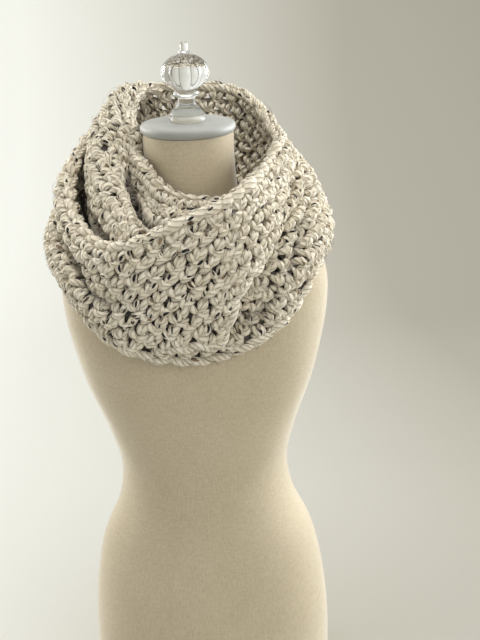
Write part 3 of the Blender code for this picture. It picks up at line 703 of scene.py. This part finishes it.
def add_stitches(cloth, material):
    """The loops of every stretch, outside and, where it shows, inside."""
    rng = np.random.default_rng(SEED)
    stitch, row, turn = stitch_places(cloth)
    whole = np.arange(cloth.stitches).astype(float)
    made = []
    for number, name in enumerate(STRETCHES):
        yarn = Yarn(rng)
        here = stretch_of(turn) == number
        for side, rows_shown in ((1, math.inf), (-1, INSIDE_ROWS[name])):
            offset = 0.0 if side > 0 or name in OPEN_WORK else 0.5
            for parity, pattern in enumerate(ROW_PATTERNS):
                chosen = here & (row % 2 == parity) & (row < rows_shown)
                for loop in pattern:
                    if name in OPEN_WORK:
                        loop = loop._replace(width=loop.width * OPEN_WIDTH, bow=loop.bow * OPEN_BOW)
                    yarn.add(cloth, *loop_paths(cloth, loop, stitch[chosen] + offset, row[chosen], side, rng))
        rim = whole[stretch_of(cloth.turn_at(whole)) == number]
        hem = rim[has_hem(cloth.turn_at(rim))]
        for loop in CHAIN:
            yarn.add(cloth, *chain_paths(cloth, loop, rim, False, 1, RIM_WIDTHS[name], rng))
            yarn.add(cloth, *chain_paths(cloth, loop, rim + 0.5, False, -1, PLAIN_WIDTH, rng))
            yarn.add(cloth, *chain_paths(cloth, loop, hem, True, 1, PLAIN_WIDTH, rng))
        yarn.add(cloth, *stray_paths(cloth, number, rng), sides=STRAY_SIDES)
        made.append(yarn.object(f"yarn_{name}", material))
    return made


def add_core(cloth, number, name, material):
    """A thin sheet of yarn depth behind the loops, painted dark as shade, with an opening at each gap between
    stitches.
    """
    start, end = cloth.stitch_at(np.array(CUT_TURNS[number:number + 2], float))
    columns = np.arange(math.ceil(start * CORE_PER_STITCH), end * CORE_PER_STITCH) / CORE_PER_STITCH
    columns = np.concatenate([[start], columns[(columns > start) & (columns < end)], [end]])
    count, share = np.meshgrid(columns, np.linspace(0.0, 1.0, CORE_ROWS + 1), indexing="ij")
    turn = cloth.turn_at(count)
    down = share * cloth.length_at(turn)
    points, _ = cloth.place(turn, down, CORE_OUT)
    index = np.arange(count.size).reshape(count.shape)
    quads = np.stack([index[:-1, :-1], index[:-1, 1:], index[1:, 1:], index[1:, :-1]], axis=-1)
    row_place = (down - EDGE_ROOM) / cloth.row_at(turn)
    row_place = (row_place[:-1, :-1] + row_place[:-1, 1:]) / 2
    middle = (count[:-1, :-1] + count[1:, :-1]) / 2
    row = np.floor(row_place)
    along = (middle - 0.5 * (row % 2) - GAP_ALONG) % 1.0
    along = np.minimum(along, 1.0 - along)
    below = row_place - row - 0.5 - GAP_DOWN
    gap = (along / GAP_HALF_ALONG) ** 2 + (below / GAP_HALF_DOWN) ** 2 < 1.0
    # The sheet stays closed where a crease's painted shade begins
    gap &= crease_depth(turn[:-1, :-1], down[:-1, :-1]) < CREASE_SHADE_FROM
    gap &= turn[:-1, :-1] < CLOSED_FROM
    gap[:, 0] = gap[:, -1] = False
    return add_piece(name, mesh_from(name, points.reshape(-1, 3), quads[~gap]), material)


class Nodes:
    """A material's node tree, with short calls to add and join its nodes."""

    def __init__(self, name):
        self.material = bpy.data.materials.new(name)
        self.material.use_nodes = True
        self.tree = self.material.node_tree
        self.place = self.add("ShaderNodeTexCoord", {}).outputs["Object"]

    def give(self, inputs, given):
        """Gives each of these inputs its value, its colour or another node's output."""
        for name, part in given.items():
            if isinstance(part, bpy.types.NodeSocket):
                self.tree.links.new(part, inputs[name])
            elif inputs[name].type == "RGBA":
                inputs[name].default_value = (*part, 1.0)
            else:
                inputs[name].default_value = part

    def add(self, kind, given, **settings):
        """A node of this kind, with its settings and with what its inputs are given."""
        node = self.tree.nodes.new(kind)
        for key, value in settings.items():
            setattr(node, key, value)
        self.give(node.inputs, given)
        return node

    def surface(self, given):
        """The finished material, with what its surface's inputs are given."""
        self.give(self.tree.nodes["Principled BSDF"].inputs, given)
        return self.material

    def attribute(self, name, output):
        """What the mesh stores at each point under this name."""
        return self.add("ShaderNodeAttribute", {}, attribute_name=name).outputs[output]

    def value(self, operation, *given):
        """A maths node on sockets or plain numbers."""
        return self.add("ShaderNodeMath", dict(enumerate(given)), operation=operation).outputs[0]

    def parts(self, vector):
        """The three parts of a vector."""
        return self.add("ShaderNodeSeparateXYZ", {0: vector}).outputs

    def noise(self, vector, scale, detail, roughness):
        """A noise texture read at a vector."""
        given = {"Vector": vector, "Scale": scale, "Detail": detail, "Roughness": roughness}
        return self.add("ShaderNodeTexNoise", given).outputs["Fac"]

    def stretched(self, vector, scale):
        """The vector with each part scaled."""
        return self.add("ShaderNodeMapping", {"Vector": vector, "Scale": scale}).outputs[0]

    def ramp(self, factor, *stops):
        """A colour ramp; each stop is its place and its colour."""
        node = self.add("ShaderNodeValToRGB", {"Fac": factor})
        elements = node.color_ramp.elements
        while len(elements) < len(stops):
            elements.new(0.5)
        for element, (place, colour) in zip(elements, stops):
            element.position = place
            element.color = (*colour, 1.0)
        return node.outputs["Color"]

    def mix(self, kind, factor, first, second):
        """A colour mix of this kind."""
        given = {"Factor": factor, "A": first, "B": second}
        return self.add("ShaderNodeMix", given, data_type="RGBA", blend_type=kind).outputs["Result"]

    def shaded(self, colour, factor, *stops, share=1.0):
        """A colour multiplied by a colour ramp."""
        return self.mix("MULTIPLY", share, colour, self.ramp(factor, *stops))

    def bump(self, height, distance, strength=1.0, over=None):
        """A bump of this height in metres, over another bump if there is one."""
        given = {"Height": height, "Distance": distance, "Strength": strength}
        if over is not None:
            given["Normal"] = over
        return self.add("ShaderNodeBump", given).outputs["Normal"]


def fleck_cover(nodes, cells, fleck):
    """Where one kind of fleck covers the wool: in cells chosen at random, fading at each cell's edge."""
    moved = nodes.add("ShaderNodeVectorMath", {0: cells, 1: (fleck.seed,) * 3}, operation="ADD").outputs[0]
    cell = nodes.add("ShaderNodeTexVoronoi", {"Vector": moved, "Scale": 1.0}).outputs
    number = nodes.add("ShaderNodeSeparateColor", {0: cell["Color"]}).outputs[0]
    chosen = nodes.value("GREATER_THAN", number, fleck.least)
    edge = {"Value": cell["Distance"], "From Min": FLECK_OUTER, "From Max": FLECK_INNER}
    near = nodes.add("ShaderNodeMapRange", edge, interpolation_type="SMOOTHSTEP").outputs[0]
    return nodes.value("MULTIPLY", chosen, near)


def yarn_material():
    """Oatmeal wool in four loosely twisted plies, with black and brown tweed flecks, soft fibre, and painted
    shade between its plies and deep in creases.
    """
    nodes = Nodes("oatmeal_tweed_yarn")
    strand = nodes.attribute("strand", "Vector")
    along, across, out = nodes.parts(strand)
    around = nodes.value("ARCTAN2", out, across)
    twisted = nodes.value("ADD", around, nodes.value("MULTIPLY", along, PLY_TWIST))
    ply = nodes.value("ABSOLUTE", nodes.value("SINE", nodes.value("MULTIPLY", twisted, PLIES / 2)))
    ply = nodes.value("POWER", ply, 0.8)
    fibre = nodes.noise(nodes.stretched(strand, (0.22, 1.0, 1.0)), scale=2600.0, detail=3.0, roughness=0.6)
    slub = nodes.noise(nodes.place, scale=55.0, detail=3.0, roughness=0.55)
    wool = nodes.ramp(slub, *WOOL_TONES)
    # Painted shade in the grooves between the plies
    wool = nodes.shaded(wool, ply, *PLY_PAINTED_SHADE_TONES)
    wool = nodes.shaded(wool, fibre, *FIBRE_TONES, share=0.55)
    cells = nodes.stretched(strand, FLECK_SHAPE)
    for fleck in FLECKS:
        wool = nodes.mix("MIX", fleck_cover(nodes, cells, fleck), wool, fleck.colour)
    return nodes.surface({
        # Painted shade: the wool darkens where it lies deep in a crease
        "Base Color": nodes.shaded(wool, nodes.attribute("deep", "Fac"), *CREASE_PAINTED_SHADE_TONES),
        "Roughness": 0.92,
        "Sheen Weight": 1.0,
        "Sheen Tint": (1.0, 0.92, 0.78),
        "Sheen Roughness": 0.35,
        "Specular IOR Level": 0.2,
        "Normal": nodes.bump(fibre, distance=0.0005, strength=0.7, over=nodes.bump(ply, distance=0.0012)),
    })


def core_material(name, tones):
    """The same wool where it lies deep between the loops: matted fibre, its dark tone painted shade."""
    nodes = Nodes(name)
    fibre = nodes.noise(nodes.place, scale=900.0, detail=4.0, roughness=0.6)
    return nodes.surface({
        "Base Color": nodes.ramp(fibre, *tones),
        "Roughness": 1.0,
        "Normal": nodes.bump(fibre, distance=0.001),
    })


def linen_material():
    """Plain-woven cream linen, stretched smooth, with slubs and a fine weave."""
    nodes = Nodes("cream_linen")
    thread = {"scale": 1400.0, "detail": 2.0, "roughness": 0.6}
    warp = nodes.noise(nodes.stretched(nodes.place, (1.0, 1.0, 0.06)), **thread)
    weft = nodes.noise(nodes.stretched(nodes.place, (0.08, 0.08, 1.0)), **thread)
    weave = nodes.value("ADD", nodes.value("MULTIPLY", warp, 0.6), nodes.value("MULTIPLY", weft, 0.4))
    cloud = nodes.noise(nodes.place, scale=9.0, detail=3.0, roughness=0.5)
    return nodes.surface({
        "Base Color": nodes.shaded(nodes.ramp(weave, *LINEN_TONES), cloud, *LINEN_CLOUD),
        "Roughness": 0.88,
        "Sheen Weight": 0.9,
        "Sheen Roughness": 0.3,
        "Specular IOR Level": 0.25,
        "Normal": nodes.bump(weave, distance=0.0003, strength=0.6),
    })


def paint_material():
    """Satin grey-white paint over turned wood, with faint brush marks."""
    nodes = Nodes("grey_white_paint")
    brush = nodes.stretched(nodes.place, (40.0, 320.0, 320.0))
    brush = nodes.noise(brush, scale=1.0, detail=3.0, roughness=0.6)
    cloud = nodes.noise(nodes.place, scale=40.0, detail=2.0, roughness=0.5)
    return nodes.surface({
        "Base Color": nodes.shaded(nodes.ramp(cloud, *PAINT_TONES), brush, *BRUSH_TONES),
        "Roughness": nodes.value("ADD", nodes.value("MULTIPLY", brush, 0.18), 0.46),
        "Normal": nodes.bump(brush, distance=0.0002, strength=0.4),
    })


def glass_material(name, roughness, tint, bending):
    """Pressed glass with a slightly wavy skin, and painted shade in its grooves."""
    nodes = Nodes(name)
    wave = nodes.noise(nodes.place, scale=90.0, detail=1.0, roughness=0.4)
    groove = nodes.attribute("groove", "Fac")
    return nodes.surface({
        # Painted shade: the glass darkens deep in the grooves between flutes
        "Base Color": nodes.ramp(groove, (GROOVE_FROM, tint), (1.0, GROOVE_PAINTED_SHADE)),
        "Roughness": roughness,
        "IOR": bending,
        "Transmission Weight": 1.0,
        "Normal": nodes.bump(wave, distance=0.0004, strength=0.12),
    })


def sweep_material():
    """A pale matte sweep, a little deeper in tone towards the right, which is painted shade."""
    nodes = Nodes("pale_sweep")
    across = nodes.value("ADD", nodes.value("MULTIPLY", nodes.parts(nodes.place)[0], 0.3), 0.5)
    return nodes.surface({
        "Base Color": nodes.ramp(across, *SWEEP_PAINTED_SHADE_TONES),
        "Roughness": 0.95,
        "Specular IOR Level": 0.1,
    })


def ring_skin(name, rings, material):
    """A smooth closed skin over rings of points with equal counts."""
    rings = np.asarray(rings)
    vertices = [rings.reshape(-1, 3), rings[0].mean(axis=0)[None], rings[-1].mean(axis=0)[None]]
    mesh = mesh_from(name, np.concatenate(vertices), skin_faces(*rings.shape[:2]))
    mesh.set_sharp_from_angle(angle=SHARP_ANGLE)
    return add_piece(name, mesh, material)


def oval(half_width, half_depth, centre_y, height, sides):
    """Points round a level oval."""
    turn = full_circle(sides)
    x = half_width * np.sin(turn)
    y = centre_y - half_depth * np.cos(turn)
    return np.stack([x, y, np.full(sides, height)], axis=1)


def on_neck(radius, height, sides):
    """A ring round the neck's own axis, which leans forward from the neck's foot."""
    place = Matrix.Translation((0.0, -NECK_SET_FORWARD, NECK_FOOT_HEIGHT))
    matrix = np.array(place @ Matrix.Rotation(NECK_LEAN, 4, "X"))
    return oval(radius, radius, 0.0, height, sides) @ matrix[:3, :3].T + matrix[:3, 3]


def add_form(material):
    """The form's body and neck as one smooth skin."""
    levels = np.array(BODY) * CM
    heights = np.linspace(levels[1, 0], levels[-1, 0], FORM_RINGS)
    rows = np.column_stack([heights, spline(levels[1:, 0], levels[1:, 1:], heights)])
    rings = [
        oval(half_width, half_depth, -forward, height, FORM_SIDES)
        for height, half_width, half_depth, forward in (levels[0], *rows)
    ]
    rings += [on_neck(ring.radius * CM, ring.height * CM, FORM_SIDES) for ring in NECK]
    return ring_skin("linen_form", rings, material)


def add_turned(name, profile, height, material, sides=96, fine=5):
    """A turned piece on the neck's axis, its profile smoothed between its rings."""
    rows = np.array([(ring.radius, ring.height) for ring in profile]) * CM
    reach = lengths_along(rows)[1:-1]
    inner = rows[1:-1]
    smooth = spline(reach, inner, np.linspace(reach[0], reach[-1], len(inner) * fine))
    return ring_skin(name, [on_neck(radius, z + height, sides) for radius, z in smooth[::-1]], material)


def add_ball(height, material):
    """The finial's fluted ball, which knows how deep each point lies in a groove between two flutes."""
    sides = FLUTES * FLUTE_POINTS
    groove = 1.0 - np.abs(np.cos(0.5 * FLUTES * full_circle(sides)))
    rings = []
    for latitude in np.linspace(-BALL_REACH, BALL_REACH, BALL_RINGS):
        around = (BALL_RADIUS - FLUTE_DEPTH * groove) * math.cos(latitude)
        level = height + BALL_HALF_HEIGHT * (math.sin(latitude) + math.sin(BALL_REACH))
        rings.append(on_neck(around, level, sides))
    item = ring_skin("glass_ball", rings, material)
    add_attribute(item.data, "groove", np.concatenate([np.tile(groove, len(rings)), (0.0, 0.0)]))
    return item


def add_backdrop(material):
    """A pale floor that sweeps up into a plain wall."""
    profile = [(SWEEP_FRONT, 0.0)]
    for k in range(SWEEP_STEPS + 1):
        angle = math.radians(90 * k / SWEEP_STEPS)
        profile.append((SWEEP_START + SWEEP_ROUND * math.sin(angle), SWEEP_ROUND * (1.0 - math.cos(angle))))
    profile.append((SWEEP_START + SWEEP_ROUND, SWEEP_TOP))
    points = [(x, y, z) for y, z in profile for x in (-SWEEP_HALF_WIDTH, SWEEP_HALF_WIDTH)]
    faces = [(2 * k, 2 * k + 1, 2 * k + 3, 2 * k + 2) for k in range(len(profile) - 1)]
    mesh = bpy.data.meshes.new("backdrop")
    mesh.from_pydata(points, [], faces)
    mesh.shade_smooth()
    mesh.materials.append(material)
    item = bpy.data.objects.new("backdrop", mesh)
    stage.objects.link(item)


def add_light(given, lit):
    """A soft rectangular light facing its target, which lights one collection."""
    light = bpy.data.lights.new(given.name, "AREA")
    light.shape = "RECTANGLE"
    light.size, light.size_y = given.size
    light.energy = given.power
    light.color = given.colour
    item = bpy.data.objects.new(given.name, light)
    item.location = given.place
    item.rotation_euler = (Vector(given.target) - Vector(given.place)).to_track_quat("-Z", "Y").to_euler()
    item.visible_camera = False
    item.light_linking.receiver_collection = lit
    bpy.context.scene.collection.objects.link(item)


def light_the_scene():
    """A pale studio: a strong soft window on the right, a pale wall on the left, and softer fills."""
    world = bpy.data.worlds.new("studio")
    world.use_nodes = True
    background = world.node_tree.nodes["Background"]
    background.inputs["Color"].default_value = WORLD_COLOUR
    background.inputs["Strength"].default_value = WORLD_STRENGTH
    bpy.context.scene.world = world
    for light in LIGHTS:
        add_light(light, pieces)
    add_light(SWEEP_WASH, stage)
    bpy.context.scene.view_settings.view_transform = "Standard"


def add_camera():
    """The photograph's view: from the front, slightly above, a little turned and tilted."""
    data = bpy.data.cameras.new("camera")
    data.sensor_width = CAMERA_SENSOR
    data.lens = CAMERA_LENS
    item = bpy.data.objects.new("camera", data)
    heading = Matrix.Rotation(-CAMERA_YAW, 4, "Z") @ Matrix.Rotation(math.pi / 2 - CAMERA_PITCH, 4, "X")
    turn = heading @ Matrix.Rotation(CAMERA_ROLL, 4, "Z")
    item.matrix_world = Matrix.Translation(CAMERA_PLACE) @ turn
    bpy.context.scene.collection.objects.link(item)
    bpy.context.scene.camera = item


def dress_the_scarf():
    """The four stretches, each of loops and the sheet behind them, standing for its solid."""
    # The sheets' dark tones are painted shade, lighter for the open work
    core = core_material("wool_painted_deep_shade", CORE_PAINTED_SHADE_TONES)
    open_core = core_material("wool_painted_open_shade", OPEN_CORE_PAINTED_SHADE_TONES)
    cloth = Cloth()
    loops = add_stitches(cloth, yarn_material())
    for number, (name, item) in enumerate(zip(STRETCHES, loops)):
        sheet = add_core(cloth, number, f"cloth_{name}", open_core if name in OPEN_WORK else core)
        for piece in (item, sheet):
            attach(piece, "root")
            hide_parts(f"scarf_{name}")


def dress_the_form():
    """The form, its cap and its finial, each standing for its solid."""
    glass = glass_material("clear_glass", roughness=0.02, tint=(0.98, 0.99, 1.0), bending=1.32)
    foot_glass = glass_material("softened_glass", roughness=0.26, tint=(0.88, 0.89, 0.87), bending=1.20)
    cap_height = NECK_TOP + SEAT
    foot_height = cap_height + CAP[0].height * CM + SEAT
    ball_height = foot_height + FOOT[0].height * CM + SEAT
    tip_height = ball_height + 2 * BALL_HALF_HEIGHT * math.sin(BALL_REACH) + SEAT
    for piece, node, slot in (
        (add_form(linen_material()), "form_body", "linen"),
        (add_turned("painted_cap", CAP, cap_height, paint_material()), "neck_cap", "cap_paint"),
        (add_turned("glass_foot", FOOT, foot_height, foot_glass, fine=4), "finial_foot", "clear_glass"),
        (add_ball(ball_height, glass), "finial_ball", "clear_glass"),
        (add_turned("glass_tip", TIP, tip_height, glass, sides=48, fine=4), "finial_tip", "clear_glass"),
    ):
        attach(piece, "root")
        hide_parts(node)


add_camera()
add_backdrop(sweep_material())
light_the_scene()
dress_the_scarf()
dress_the_form()
